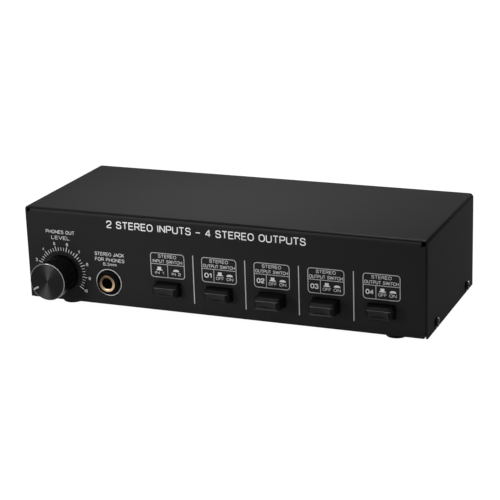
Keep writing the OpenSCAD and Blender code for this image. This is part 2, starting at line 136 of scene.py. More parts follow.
floor_half = 3.0
floor_shown, floor_glow, floor_grey = 0.9, 1.1, 0.85
floor_mesh = bpy.data.meshes.new("floor")
floor_mesh.from_pydata([(-floor_half, -floor_half, 0), (floor_half, -floor_half, 0),
                        (floor_half, floor_half, 0), (-floor_half, floor_half, 0)], [], [(0, 1, 2, 3)])
floor = bpy.data.objects.new("floor", floor_mesh)
scene.collection.objects.link(floor)
pale = bpy.data.materials.new("pale_floor")
pale.use_nodes = True
pale.node_tree.nodes.clear()
start = Wire(pale.node_tree)
matt = start.node("BsdfDiffuse", {}, {"Color": (floor_grey, floor_grey, floor_grey, 1)})
white = start.node("Emission", {}, {"Color": (1, 1, 1, 1), "Strength": floor_glow})
both = start.node("MixShader", {}, {0: shows_backdrop(start) * floor_shown, 1: matt, 2: white})
start.node("OutputMaterial", {}, {"Surface": both})
floor_mesh.materials.append(pale)


def lamp(name, place, aim, size, watts):
    """A square area lamp at place that faces aim, in metres."""
    data = bpy.data.lights.new(name, "AREA")
    data.size = size
    data.energy = watts
    made = bpy.data.objects.new(name, data)
    made.location = place
    made.rotation_mode = "QUATERNION"
    made.rotation_quaternion = (Vector(place) - Vector(aim)).to_track_quat("Z", "Y")
    scene.collection.objects.link(made)


front_left = (-0.1, -0.05, 0.03)
lamp("top_lamp", place=(-0.01, -0.02, 0.24), aim=(-0.01, -0.02, 0.03), size=0.12, watts=0.58)
lamp("high_lamp", place=(-0.04, 0.05, 0.3), aim=(-0.04, 0.03, 0.03), size=0.15, watts=0.25)
lamp("front_lamp", place=(-0.2, -0.3, 0.105), aim=front_left, size=0.1, watts=0.36)
lamp("left_lamp", place=(-0.5, -0.32, 0.06), aim=front_left, size=0.35, watts=0.15)
lamp("rim_lamp", place=(-0.23, -0.17, 0.34), aim=front_left, size=0.06, watts=0.1)
lamp("side_lamp", place=(0.9, 0.1, 0.6), aim=(0.1, 0, 0.03), size=0.5, watts=5.0)
lamp("back_lamp", place=(0.2, 1.2, 0.1), aim=(0, 0.05, 0.03), size=0.5, watts=12.0)

# Case
# Two folded sheets of 1.2 mm steel with a satin black powder coat. The chassis has the front and rear
# panels and the bottom. The cover is an inverted U that laps over its sides and is screwed on. The coat
# has painted shade along the cover's bends and a painted highlight at the right of its front lip.
CAD = frame["nodes"]


def coated(name, base, roughness, specular, metallic=0.0):
    """A new material and the wire that its nodes start from. Its plain numbers are on the sockets."""
    made = bpy.data.materials.new(name)
    made.use_nodes = True
    shader = made.node_tree.nodes["Principled BSDF"]
    shader.inputs["Base Color"].default_value = (*base, 1)
    shader.inputs["Roughness"].default_value = roughness
    shader.inputs["Specular IOR Level"].default_value = specular
    shader.inputs["Metallic"].default_value = metallic
    return made, Wire(made.node_tree)


def feed(material, **wires):
    """Links wires to the shader's sockets, written with _ for a blank."""
    shader = material.node_tree.nodes["Principled BSDF"]
    for name, wire in wires.items():
        material.node_tree.links.new(wire.socket, shader.inputs[name.replace("_", " ")])


def place_of(start):
    """Object coordinates, in metres."""
    return start.node("TexCoord", {}, {}, "Object")


def axes_of(start):
    """The X, Y and Z of Object coordinates, as three wires."""
    return [start.node("SeparateXYZ", {}, {"Vector": place_of(start)}, axis) for axis in "XYZ"]


def grain(start, size, detail=3.0):
    """Noise from 0 to 1 whose lumps are about size metres across."""
    return start.node("TexNoise", {}, {"Vector": place_of(start), "Scale": 1 / size, "Detail": detail,
                                       "Roughness": 0.55}, "Fac")


def tint(start, mask, at_0, at_1):
    """The colour that a mask picks between two, each of them three numbers or a wire."""
    ends = [colour if isinstance(colour, Wire) else (*colour, 1) for colour in (at_0, at_1)]
    return start.node("Mix", {"data_type": "RGBA"}, {"Factor": mask, 6: ends[0], 7: ends[1]}, 2)


def bumped(start, height, distance, strength):
    """A normal bent by a height from 0 to 1 that stands for distance metres."""
    return start.node("Bump", {}, {"Height": height, "Distance": distance, "Strength": strength}, "Normal")


def under(value, limit, soft=0.1 * MM):
    """1 where a value is under the limit and 0 where it is over, with a soft step between."""
    return value.node("MapRange", {"interpolation_type": "SMOOTHSTEP"}, {
        "Value": value, "From Min": limit + soft, "From Max": limit - soft})


cover_low, cover_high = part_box("top_cover")
bend_r = 2.4 * MM
bend_across, bend_down, bend_fade = 0.52 * bend_r, 0.78 * bend_r, 0.35 * MM
lip_depth, lip_height, lip_highlight_x, lip_highlight_fade = 0.3 * MM, 0.8 * MM, 60 * MM, 50 * MM
paint, start = coated("satin_powder_coat", (0.022, 0.022, 0.0225), roughness=0.62, specular=0.001)
fine = grain(start, 0.35 * MM)
cloud = grain(start, 30 * MM, detail=2.0)
coat_x, coat_y, coat_z = axes_of(start)
# Painted shade: the coat's colour is made darker on the cover's two top bends.
bent = 1 - under(start.math("ABSOLUTE", coat_x), cover_high.x - bend_across, bend_fade)
bent = bent * (1 - under(coat_z, cover_high.z - bend_down, bend_fade))
# Painted highlight: a pale line along the top of the cover's front lip, faded out towards the left of the
# case.
painted_lip_highlight = under(coat_y, cover_low.y + lip_depth) * (1 - under(coat_z, cover_high.z - lip_height)) * (1 - bent)
painted_lip_highlight = painted_lip_highlight * (1 - under(coat_x, lip_highlight_x, lip_highlight_fade))
coat = tint(start, fine * 0.6 + cloud * 0.4, (0.0195, 0.0195, 0.0199), (0.0245, 0.0245, 0.025))
coat = tint(start, bent, coat, (0.008, 0.008, 0.008))
coat = tint(start, painted_lip_highlight, coat, (0.066, 0.066, 0.067))
feed(paint, Base_Color=coat, Roughness=cloud * 0.12 + fine * 0.1 + 0.5,
     Normal=bumped(start, fine, distance=0.03 * MM, strength=0.6))


def weld(mesh, distance=0.002 * MM, flatten=False):
    """Joins doubled points, turns the faces outwards and, where asked, joins triangles that share a
    plane."""
    work = bmesh.new()
    work.from_mesh(mesh)
    bmesh.ops.remove_doubles(work, verts=work.verts, dist=distance)
    bmesh.ops.dissolve_degenerate(work, edges=work.edges, dist=distance)
    if flatten:
        bmesh.ops.dissolve_limit(work, angle_limit=math.radians(1), verts=work.verts, edges=work.edges)
    bmesh.ops.recalc_face_normals(work, faces=work.faces)
    work.to_mesh(mesh)
    work.free()


def finished(mesh, name, material, body, nodes=(), smooth=35):
    """Makes the object of a mesh, shades it smooth under an angle and gives it its body, slot and nodes."""
    mesh.polygons.foreach_set("use_smooth", np.ones(len(mesh.polygons), bool))
    mesh.set_sharp_from_angle(angle=math.radians(smooth))
    mesh.materials.clear()
    mesh.materials.append(material)
    made = bpy.data.objects.new(name, mesh)
    scene.collection.objects.link(made)
    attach(made, body)
    if nodes:
        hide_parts(*nodes)
    return made


def eased(node, name, material, width, body="case", angle=35):
    """A copy of a CAD node with its sharp edges rounded to width, which stands for the node. Its faces are
    shaded flat, because they are plane and have holes."""
    mesh = CAD[node].data.copy()
    mesh.name = name
    weld(mesh, flatten=True)
    made = finished(mesh, name, material, body, [node], angle)
    mesh.polygons.foreach_set("use_smooth", np.zeros(len(mesh.polygons), bool))
    bevel = made.modifiers.new("eased_edges", "BEVEL")
    bevel.width = width
    bevel.segments = 2
    bevel.limit_method = "ANGLE"
    bevel.angle_limit = math.radians(angle)
    return made


def surface(points, name, material, body, nodes, smooth=35):
    """A piece from one or more grids of points (rows, columns, 3): quads between neighbours, with each
    row closed on itself and each grid's ends welded shut where its points meet."""
    corners, quads, first = [], [], 0
    for grid in points if isinstance(points, list) else [points]:
        rows, columns = grid.shape[:2]
        i, j = np.meshgrid(np.arange(rows - 1), np.arange(columns), indexing="ij")
        here, below, along = first + i * columns, first + (i + 1) * columns, (j + 1) % columns
        quads.append(np.stack([here + j, below + j, below + along, here + along], -1).reshape(-1, 4))
        corners.append(grid.reshape(-1, 3))
        first += rows * columns
    mesh = bpy.data.meshes.new(name)
    mesh.from_pydata(np.concatenate(corners).tolist(), [], np.concatenate(quads).tolist())
    weld(mesh)
    return finished(mesh, name, material, body, nodes, smooth)


def softened(points, radii, steps=5):
    """A polyline with each inner corner replaced by a quadratic curve that leaves and meets its sides one
    radius away, or halfway along a side that is too short: (1-t)^2 a + 2t(1-t) p + t^2 b."""
    points = np.asarray(points, float)
    radii = np.broadcast_to(radii, len(points))
    t = np.linspace(0, 1, steps + 1)[:, None]
    out = [points[:1]]
    most = np.full(len(points) - 1, 0.5)
    most[[0, -1]] = 1
    for k, (before, corner, after, radius) in enumerate(zip(points, points[1:], points[2:], radii[1:])):
        a = corner + (before - corner) * min(radius / np.linalg.norm(before - corner), most[k])
        b = corner + (after - corner) * min(radius / np.linalg.norm(after - corner), most[k + 1])
        out.append((1 - t) ** 2 * a + 2 * t * (1 - t) * corner + t ** 2 * b)
    line = np.concatenate(out + [points[-1:]])
    return line[np.r_[True, np.abs(np.diff(line, axis=0)).max(1) > 1e-9]]


def folded_sheet(path, normals, y0, y1, thickness, edge):
    """A sheet carried along a path in the X-Z plane: its section, a rectangle from y0 to y1 with rounded
    corners, stands on the path's normals. The first and the last section are drawn in to a line."""
    half = thickness / 2
    box = np.array([(y0, 0), (y0, -half), (y1, -half), (y1, half), (y0, half), (y0, 0)])
    section = softened(box, edge, 4)[:-1]
    y = np.broadcast_to(section[:, 0], (len(path), len(section)))
    out = np.broadcast_to(section[:, 1], y.shape).copy()
    out[[0, -1]] = 0
    x = path[:, :1] + normals[:, :1] * out
    z = path[:, 1:] + normals[:, 1:] * out
    return np.stack([x, y, z], -1)


sheet_t = 1.2 * MM
edge_r = 0.25 * MM
bend_steps = 14
side_x, top_z = cover_high.x - sheet_t / 2, cover_high.z - sheet_t / 2
middle_r = bend_r - sheet_t / 2
angles = np.linspace(0, math.pi / 2, bend_steps + 1)
bend_normal = np.stack([np.cos(angles), np.sin(angles)], 1)
right_path = np.concatenate([[(side_x, cover_low.z), (side_x, cover_low.z + edge_r)],
                             (side_x - middle_r, top_z - middle_r) + middle_r * bend_normal])
right_normal = np.concatenate([[(1, 0)] * 2, bend_normal])
path, normals = [np.concatenate([right, right[::-1] * (-1, 1)]) for right in (right_path, right_normal)]
surface(folded_sheet(path, normals, cover_low.y, cover_high.y, sheet_t, edge_r),
        "cover_sheet", paint, "case", ["top_cover"])
eased("chassis", "chassis_sheet", paint, width=0.15 * MM)

# Printed legends on the front
# White ink, screen printed on the powder coat: a title, the dial, the jack's ring, a ruled box over
# each button and dividers between them. It is laid out in millimetres across the panel and up from its
# foot, and it reaches as far under the panel's face as it stands over it.
front_y = case_low.y
ink_rise = 0.03 * MM
jack_low, jack_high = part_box("jack_ring_nut")
jack_x, control_z = (jack_low.x + jack_high.x) / 2, (jack_low.z + jack_high.z) / 2
knob_low, knob_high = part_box("knob")
knob_x, knob_z = (knob_low.x + knob_high.x) / 2, (knob_low.z + knob_high.z) / 2
buttons = ["input", "output_1", "output_2", "output_3", "output_4"]
button_x = [(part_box(b + "_button")[0].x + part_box(b + "_button")[1].x) / 2 for b in buttons]
sill = case_low.z


class Print:
    """Flat shapes that are gathered in millimetres, u across and v up, and printed on a panel."""

    def __init__(self):
        self.points, self.faces, self.count = [], [], 0

    def add(self, points, faces):
        """Adds points, and faces that count them from 0."""
        self.points.append(np.asarray(points, float))
        self.faces += [[self.count + k for k in face] for face in faces]
        self.count += len(points)

    def ribbon(self, path, width, closed=False):
        """A line of even width: each point of the path steps aside by half the width along the mitre of
        its two sides, and the strip is given the ink's thickness."""
        path = np.asarray(path, float)
        ahead = np.roll(path, -1, 0) - path
        behind = path - np.roll(path, 1, 0)
        if not closed:
            ahead[-1], behind[0] = behind[-1], ahead[0]
        ahead /= np.linalg.norm(ahead, axis=1)[:, None]
        behind /= np.linalg.norm(behind, axis=1)[:, None]
        mitre = ahead + behind
        mitre /= (mitre * ahead).sum(1)[:, None]
        aside = np.stack([-mitre[:, 1], mitre[:, 0]], 1) * width / 2
        n = len(path)
        ring = [np.c_[path + side * aside, np.full(n, level)]
                for side, level in ((1, 0), (1, 1), (-1, 1), (-1, 0))]
        faces = []
        for k in range(n if closed else n - 1):
            m = (k + 1) % n
            faces += [(q * n + k, q * n + m, (q + 1) % 4 * n + m, (q + 1) % 4 * n + k) for q in range(4)]
        if not closed:
            faces += [(0, n, 2 * n, 3 * n), (n - 1, 4 * n - 1, 3 * n - 1, 2 * n - 1)]
        self.add(np.concatenate(ring), faces)

    def patch(self, outline):
        """A filled outline with the ink's thickness."""
        n = len(outline)
        both = [np.c_[outline, np.full(n, level)] for level in (0, 1)]
        sides = [(k, (k + 1) % n, n + (k + 1) % n, n + k) for k in range(n)]
        self.add(np.concatenate(both), [tuple(range(n)), tuple(range(2 * n - 1, n - 1, -1))] + sides)

    def ring(self, u, v, radius, width, count=96):
        """A circle round (u, v), drawn as a closed line of even width."""
        t = np.linspace(0, 2 * math.pi, count, endpoint=False)
        self.ribbon(np.stack([u + radius * np.sin(t), v + radius * np.cos(t)], 1), width, True)

    def words(self, text, u, v, cap, width=None, stroke=0.15):
        """Plain letters centred on (u, v), cap high, with lines stroke times that thick. Each sign's
        strokes are scaled from the letters' grid, and stretched sideways to the width if it is given."""
        across, strokes = 0.0, []
        for sign in text:
            wide, *lines = GLYPHS[sign]
            strokes += [(np.array(points, float) + (across, 0), rounding) for rounding, points in lines]
            across += wide + letter_gap
        size = cap / letter_tall
        spread = width / (across - letter_gap) if width else size
        for points, rounding in strokes:
            points = (points - ((across - letter_gap) / 2, letter_tall / 2)) * (spread, size) + (u, v)
            if rounding:
                points = softened(points, rounding * size, 6)
            closed = np.allclose(points[0], points[-1])
            self.ribbon(points[:-1] if closed else points, cap * stroke, closed)

    def onto(self, name, material, slot, across, out, panel_y):
        """Prints the shapes on the panel at panel_y: u runs along X times across, and out is the side."""
        points = np.concatenate(self.points)
        placed = np.stack([points[:, 0] * across * MM, panel_y + out * (points[:, 2] * 2 - 1) * ink_rise,
                           sill + points[:, 1] * MM], 1)
        mesh = bpy.data.meshes.new(name)
        mesh.from_pydata(placed.tolist(), [], self.faces)
        weld(mesh, 0.0005 * MM)
        return finished(mesh, name, material, "case", smooth=20)


# Each sign: its width, then its strokes as (rounding of the corners, points), in a grid 6 high.
letter_tall, letter_gap = 6.0, 1.5
GLYPHS = {
    " ": (1.6,),
    ".": (0.4, (0, [(0.2, 0), (0.2, 0.9)])),
    "–": (3.6, (0, [(0, 2.6), (3.6, 2.6)])),
    "A": (4.6, (0, [(0, 0), (2.3, 6)]), (0, [(2.3, 6), (4.6, 0)]), (0, [(0.8, 2.1), (3.8, 2.1)])),
    "C": (4.2, (2.0, [(4.2, 4.2), (4.0, 6), (0, 6), (0, 0), (4.0, 0), (4.2, 1.8)])),
    "E": (3.6, (0, [(3.6, 6), (0, 6), (0, 0), (3.6, 0)]), (0, [(0, 3.1), (3.2, 3.1)])),
    "F": (3.4, (0, [(3.4, 6), (0, 6), (0, 0)]), (0, [(0, 3.0), (3.0, 3.0)])),
    "H": (4.0, (0, [(0, 0), (0, 6)]), (0, [(4, 0), (4, 6)]), (0, [(0, 3.1), (4, 3.1)])),
    "I": (0.4, (0, [(0.2, 0), (0.2, 6)])),
    "J": (2.8, (1.5, [(2.8, 6), (2.8, 0), (0, 0), (0, 2)])),
    "K": (4.0, (0, [(0, 0), (0, 6)]), (0, [(4, 6), (0.2, 2.4)]), (0, [(1.4, 3.5), (4, 0)])),
    "L": (3.3, (0, [(0, 6), (0, 0), (3.3, 0)])),
    "N": (4.1, (0, [(0, 0), (0, 6)]), (0, [(0, 6), (4.1, 0)]), (0, [(4.1, 0), (4.1, 6)])),
    "O": (4.4, (3, [(0, 3), (0, 6), (4.4, 6), (4.4, 0), (0, 0), (0, 3)])),
    "P": (3.8, (0, [(0, 0), (0, 6)]), (1.5, [(0, 6), (3.8, 6), (3.8, 2.7), (0, 2.7)])),
    "R": (4.0, (0, [(0, 0), (0, 6)]), (1.4, [(0, 6), (3.8, 6), (3.8, 2.9), (0, 2.9)]),
          (0, [(2.2, 2.9), (4, 0)])),
    "S": (3.8, (1.5, [(3.7, 4.5), (3.6, 6), (0.2, 6), (0.1, 3.3), (3.8, 2.9), (3.8, 0), (0.1, 0),
                      (0, 1.6)])),
    "T": (4.0, (0, [(0, 6), (4, 6)]), (0, [(2, 6), (2, 0)])),
    "U": (4.0, (1.9, [(0, 6), (0, 0), (4, 0), (4, 6)])),
    "V": (4.4, (0, [(0, 6), (2.2, 0)]), (0, [(2.2, 0), (4.4, 6)])),
    "W": (6.0, (0, [(0, 6), (1.5, 0)]), (0, [(1.5, 0), (3, 6)]), (0, [(3, 6), (4.5, 0)]),
          (0, [(4.5, 0), (6, 6)])),
    "m": (5.0, (0, [(0, 0), (0, 4)]), (1.1, [(0, 4), (2.5, 4), (2.5, 0)]),
          (1.1, [(2.5, 4), (5, 4), (5, 0)])),
    "0": (3.8, (3, [(0, 3), (0, 6), (3.8, 6), (3.8, 0), (0, 0), (0, 3)])),
    "1": (2.0, (0, [(0, 4.6), (1.6, 6)]), (0, [(1.6, 6), (1.6, 0)])),
    "2": (3.8, (1.6, [(0, 4.2), (0, 6), (3.7, 6), (3.7, 3.4), (0, 1.2), (0, 0)]), (0, [(0, 0), (3.8, 0)])),
    "3": (3.7, (1.4, [(0, 4.8), (0, 6), (3.5, 6), (3.5, 3.2), (1.2, 3.2)]),
          (1.4, [(1.2, 3.2), (3.7, 3.2), (3.7, 0), (0, 0), (0, 1.4)])),
    "4": (4.0, (0, [(3.0, 0), (3.0, 6)]), (0, [(3.0, 6), (0, 1.6)]), (0, [(0, 1.6), (4, 1.6)])),
    "5": (3.7, (0, [(3.4, 6), (0.4, 6), (0, 3)]), (1.6, [(0, 3), (3.7, 4.4), (3.7, 0), (0, 0), (0, 1.4)])),
    "6": (3.8, (1.6, [(3.6, 4.9), (3.4, 6), (0, 6), (0, 0), (3.8, 0), (3.8, 3.6), (0.1, 3.6)])),
    "7": (3.7, (0, [(0, 6), (3.7, 6)]), (0, [(3.7, 6), (1.2, 0)])),
    "8": (3.8, (1.3, [(0.2, 4.6), (0.2, 6), (3.6, 6), (3.6, 3.1), (0.2, 3.1), (0.2, 4.6)]),
          (1.4, [(0, 1.5), (0, 3.1), (3.8, 3.1), (3.8, 0), (0, 0), (0, 1.5)])),
    "9": (3.8, (1.6, [(0.2, 1.1), (0.4, 0), (3.8, 0), (3.8, 6), (0, 6), (0, 2.4), (3.7, 2.4)])),
}


def rounded_box(u0, u1, v0, v1, radius, steps=6):
    """A rectangle whose corners are quarter circles, as a closed line."""
    quarter = np.linspace(0, math.pi / 2, steps + 1)
    corners = [(u1 - radius, v1 - radius), (u0 + radius, v1 - radius), (u0 + radius, v0 + radius),
               (u1 - radius, v0 + radius)]
    turns = [quarter + k * math.pi / 2 for k in range(4)]
    return np.concatenate([corner + radius * np.stack([np.cos(t), np.sin(t)], 1)
                           for corner, t in zip(corners, turns)])


def ink(name, colour):
    """Screen ink that is a little uneven where the powder coat's grain shows through."""
    made, start = coated(name, colour, roughness=0.6, specular=0.1)
    thin = tuple(0.72 * part for part in colour)
    fine = grain(start, 0.3 * MM, detail=2.0)
    feed(made, Base_Color=tint(start, fine, thin, colour),
         Normal=bumped(start, fine, distance=0.01 * MM, strength=0.4))
    return made


thick_ink = ink("thick_white_ink", (1.0, 1.0, 1.0))
white_ink = ink("white_ink", (0.8, 0.8, 0.8))
grey_ink = ink("thin_white_ink", (0.55, 0.55, 0.55))
title, letters, rules = Print(), Print(), Print()
title_u, title_v, title_cap = -7.7, 50.7, 3.9
title.words("2 STEREO INPUTS – 4 STEREO OUTPUTS", title_u, title_v, title_cap, width=124, stroke=0.155)
title.onto("front_title", thick_ink, "white_paint", 1, -1, front_y)

dial_centre = np.array([knob_x, knob_z - sill]) / MM
dial_marks, dial_split, dial_step = 10, 4, math.radians(27.6)
major_ends, major_w, minor_ends, minor_w = (13.5, 16.6), 0.46, (13.7, 15.7), 0.36
numeral_r, numeral_cap = 18.3, 1.6
for tick in range((dial_marks - 1) * dial_split + 1):
    turn = (tick / dial_split - (dial_marks - 1) / 2) * dial_step
    ray = np.array([math.sin(turn), math.cos(turn)])
    mark, between = divmod(tick, dial_split)
    if between:
        letters.ribbon([dial_centre + r * ray for r in minor_ends], minor_w)
    else:
        letters.ribbon([dial_centre + r * ray for r in major_ends], major_w)
        letters.words(str(mark + 1), *(dial_centre + numeral_r * ray), numeral_cap, stroke=0.2)
label_cap, dial_label_u = 1.9, -101.4
letters.words("PHONES OUT", dial_label_u, v=43.1, cap=label_cap, width=19)
letters.words("LEVEL", dial_label_u, v=39.5, cap=label_cap, width=12)

ring_r, ring_w, jack_label_u = 8.1, 0.42, -69.3
letters.ring(jack_x / MM, (control_z - sill) / MM, ring_r, ring_w)
letters.words("STEREO JACK", jack_label_u, v=32.0, cap=label_cap, width=19)
letters.words("FOR PHONES", jack_label_u, v=28.6, cap=label_cap, width=19)
letters.words("6.3mm", jack_label_u, v=25.8, cap=1.6, width=8.6)

sign_half, sign_foot, sign_head = 1.9, -1.1, 1.1
base_head, block_half, block_foot, dome_foot, dome_h = -0.55, 1.15, -0.45, -0.7, 0.95


def push_out(page, place):
    """The sign for a button that stands out: a block on a wider base, mirrored from its right half."""
    right = np.array([(sign_half, sign_foot), (sign_half, base_head), (block_half, block_foot),
                      (block_half, sign_head)])
    page.patch(np.concatenate([right, right[::-1] * (-1, 1)]) + place)


def push_in(page, place):
    """The sign for a button that is in: half an ellipse for a low dome, on a base."""
    t = np.linspace(0, math.pi, 13)
    dome = np.stack([sign_half * np.cos(t), dome_foot + dome_h * np.sin(t)], 1)
    page.patch(np.concatenate([[(sign_half, sign_foot)], dome, [(-sign_half, sign_foot)]]) + place)


box_w, box_foot, box_head, header_v, corner_r = 21.4, 21.2, 35.9, 29.2, 1.8
frame_w, rule_w, line_1_v, line_2_v = 0.42, 0.36, 34.1, 31.0
header = {"cap": 1.75, "stroke": 0.14}
choice_v, choice_word_v, choice_cap = 26.4, 23.8, 1.5
number_u, number_v, split_u, off_u, on_u = 3.8, 25.2, 7.4, 11.2, 17.3
state_v, state_word_v, state_cap = 26.6, 23.9, 1.6
for number, centre in enumerate(button_x):
    u = centre / MM
    left, right = u - box_w / 2, u + box_w / 2
    rules.ribbon(rounded_box(left, right, box_foot, box_head, corner_r), frame_w, True)
    rules.ribbon([(left, header_v), (right, header_v)], rule_w)
    letters.words("STEREO", u, line_1_v, width=11.4, **header)
    if number == 0:
        in_1_u, in_2_u = u - box_w / 4, u + box_w / 4
        rules.ribbon([(u, box_foot), (u, header_v)], rule_w)
        letters.words("INPUT SWITCH", u, line_2_v, width=18.6, **header)
        push_out(letters, (in_1_u, choice_v))
        push_in(letters, (in_2_u, choice_v))
        letters.words("IN 1", in_1_u, choice_word_v, choice_cap, width=5.6)
        letters.words("IN 2", in_2_u, choice_word_v, choice_cap, width=5.6)
    else:
        rules.ribbon([(left + split_u, box_foot), (left + split_u, header_v)], rule_w)
        letters.words("OUTPUT SWITCH", u, line_2_v, width=19.6, **header)
        letters.words(f"{number:02}", left + number_u, number_v, cap=2.4, width=4.2, stroke=0.24)
        push_out(letters, (left + off_u, state_v))
        push_in(letters, (left + on_u, state_v))
        letters.words("OFF", left + off_u, state_word_v, state_cap, width=4.7)
        letters.words("ON", left + on_u, state_word_v, state_cap, width=3.9)
divider_foot, divider_head, divider_w, divider_places = 6.8, 36.3, 0.56, (-15.25, 17.2, 49.9, 82.5)
for u in divider_places:
    rules.ribbon([(u, divider_foot), (u, divider_head)], divider_w)
letters.onto("front_legends", white_ink, "white_paint", 1, -1, front_y)
rules.onto("front_rules", grey_ink, "white_paint", 1, -1, front_y)

# Level knob
# Turned from aluminium bar and anodised black. The face is spun with fine rings and its edge is cut
# bright after anodising. A white line is filled into a milled groove, and a grub screw holds the shaft.
knob_r = (knob_high.x - knob_low.x) / 2
face_y, back_y = knob_low.y, knob_high.y


def turned(profile, x, z, count=96):
    """A profile of (radius, y) points carried round the axis along Y through (x, z)."""
    t = np.linspace(0, 2 * math.pi, count, endpoint=False)
    r, y = profile[:, :1], profile[:, 1:]
    return np.stack([x + r * np.sin(t), y + 0 * t, z + r * np.cos(t)], -1)


bright_w, land_w, spun_depth = 0.33 * MM, 0.25 * MM, 0.1 * MM
ring_pitch, ring_slope = 0.36 * MM, math.radians(18.5)
face_r = knob_r - bright_w - land_w
rings = np.arange(face_r, 0, -ring_pitch / 2)
ridges = np.arange(len(rings)) % 2 * math.tan(ring_slope) * ring_pitch / 2
spun = np.stack([np.r_[rings, 0], face_y + spun_depth + np.r_[ridges, 0]], 1)
bore_r, bore_end, recess_r, recess_y = 3.05 * MM, face_y + 3.5 * MM, 7 * MM, back_y - 6.2 * MM
shell = softened([(0, bore_end), (bore_r, bore_end), (bore_r, recess_y), (recess_r, recess_y),
                  (recess_r, back_y), (knob_r, back_y), (knob_r, face_y + bright_w),
                  (knob_r - bright_w, face_y), (face_r, face_y), spun[0]],
                 np.array([0, 0.1, 0.1, 0.1, 0.2, 0.4, 0.06, 0.06, 0.1, 0]) * MM)
anodised = (0.002, 0.002, 0.002)
black_knob, start = coated("black_anodised", anodised, roughness=0.3, specular=0.03)
along_x, along_y, along_z = axes_of(start)
aside, aloft = along_x - knob_x, along_z - knob_z
radius = start.math("SQRT", aside * aside + aloft * aloft)
# Both masks reach a little past the bright edge, so that its corners are bright too.
in_front = start.math("LESS_THAN", along_y, face_y + bright_w * 1.05)
cut_edge = in_front * start.math("GREATER_THAN", radius, knob_r - bright_w * 1.15)
face = in_front * (1 - cut_edge)
hair = start.node("TexNoise", {"noise_dimensions": "1D"},
                  {"W": radius, "Scale": 1 / (0.12 * MM), "Detail": 4.0}, "Fac")
spun_tone = tint(start, hair, (0.0075, 0.0075, 0.0077), (0.0145, 0.0145, 0.0148))
knob_tone = tint(start, cut_edge, tint(start, face, anodised, spun_tone), (0.2, 0.2, 0.203))
feed(black_knob, Base_Color=knob_tone, Metallic=in_front, Roughness=0.24 - cut_edge * 0.04 + hair * 0.06,
     Normal=bumped(start, hair * face, distance=0.004 * MM, strength=0.3))
surface(turned(np.concatenate([shell, spun[1:]]), knob_x, knob_z, count=128),
        "spun_knob", black_knob, "knob", ["knob"])

# Pointer
# The groove in the knob's face, filled with white paint and wiped level. It shows how far the level
# control is turned.
white_line, start = coated("white_fill", (0.3, 0.3, 0.3), roughness=0.5, specular=0.1)
feed(white_line, Base_Color=tint(start, grain(start, 0.5 * MM), (0.27, 0.27, 0.27), (0.36, 0.36, 0.36)))
eased("pointer_inlay", "pointer_line", white_line, width=0.08 * MM, body="knob")

# Headphone jack
# A gilt brass sleeve with a rolled lip, held from the front by a glossy black ring nut. Its colour has a
# painted highlight below and at the right and painted shade at the upper left. It takes a standard plug,
# and the black housing behind it holds the contacts.
sleeve_low, sleeve_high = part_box("jack_sleeve")
sleeve_r, bore = (sleeve_high.x - sleeve_low.x) / 2, 3.25 * MM
lip_r = sleeve_r + 0.5 * MM
gilt, start = coated("gilt_brass", (0.36, 0.24, 0.14), roughness=0.2, specular=0.5, metallic=1.0)
along_x, along_y, along_z = axes_of(start)
# Painted light: from 0, painted shade at the upper left of the lip, to 1, a painted highlight at its lower
# right.
painted_light = ((along_x - jack_x) * 0.45 - (along_z - control_z) * 0.9) * (0.5 / lip_r) + 0.5
feed(gilt, Base_Color=tint(start, painted_light * painted_light * 0.85 + grain(start, 2 * MM) * 0.1,
                           (0.03, 0.017, 0.009), (0.8, 0.56, 0.34)),
     Roughness=grain(start, 1 * MM) * 0.08 + 0.16)
sleeve = softened([(bore, sleeve_high.y), (bore, sleeve_low.y), (lip_r, sleeve_low.y), (lip_r, jack_low.y),
                   (sleeve_r, jack_low.y), (sleeve_r, sleeve_high.y), (bore, sleeve_high.y)],
                  np.array([0, 0.9, 0.75, 0.05, 0.05, 0.05, 0]) * MM, steps=10)
surface(turned(sleeve, jack_x, control_z), "gilt_sleeve", gilt, "case", ["jack_sleeve"])
nut_r = (jack_high.x - jack_low.x) / 2
gloss, start = coated("gloss_black", (0.002, 0.002, 0.002), roughness=0.3, specular=0.025)
feed(gloss, Roughness=grain(start, 2 * MM) * 0.14 + 0.26)
collar = softened([(sleeve_r, jack_high.y), (sleeve_r, jack_low.y), (nut_r, jack_low.y),
                   (nut_r, jack_high.y), (sleeve_r, jack_high.y)], np.array([0, 0.05, 1.5, 0.05, 0]) * MM)
surface(turned(collar, jack_x, control_z), "ring_nut", gloss, "case", ["jack_ring_nut"])

# Push buttons
# Moulded black caps on the plungers of latching switches. Each face is bevelled all round and has a
# shallow hollow for the finger, and each cap slides in its window in the panel.
bevel_x, bevel_z, bevel_y, hollow, hollow_rim = 1.9 * MM, 1.8 * MM, 2.2 * MM, 1.1 * MM, 0.35 * MM
crest_half, crest_inset = 0.22 * MM, 0.8 * MM


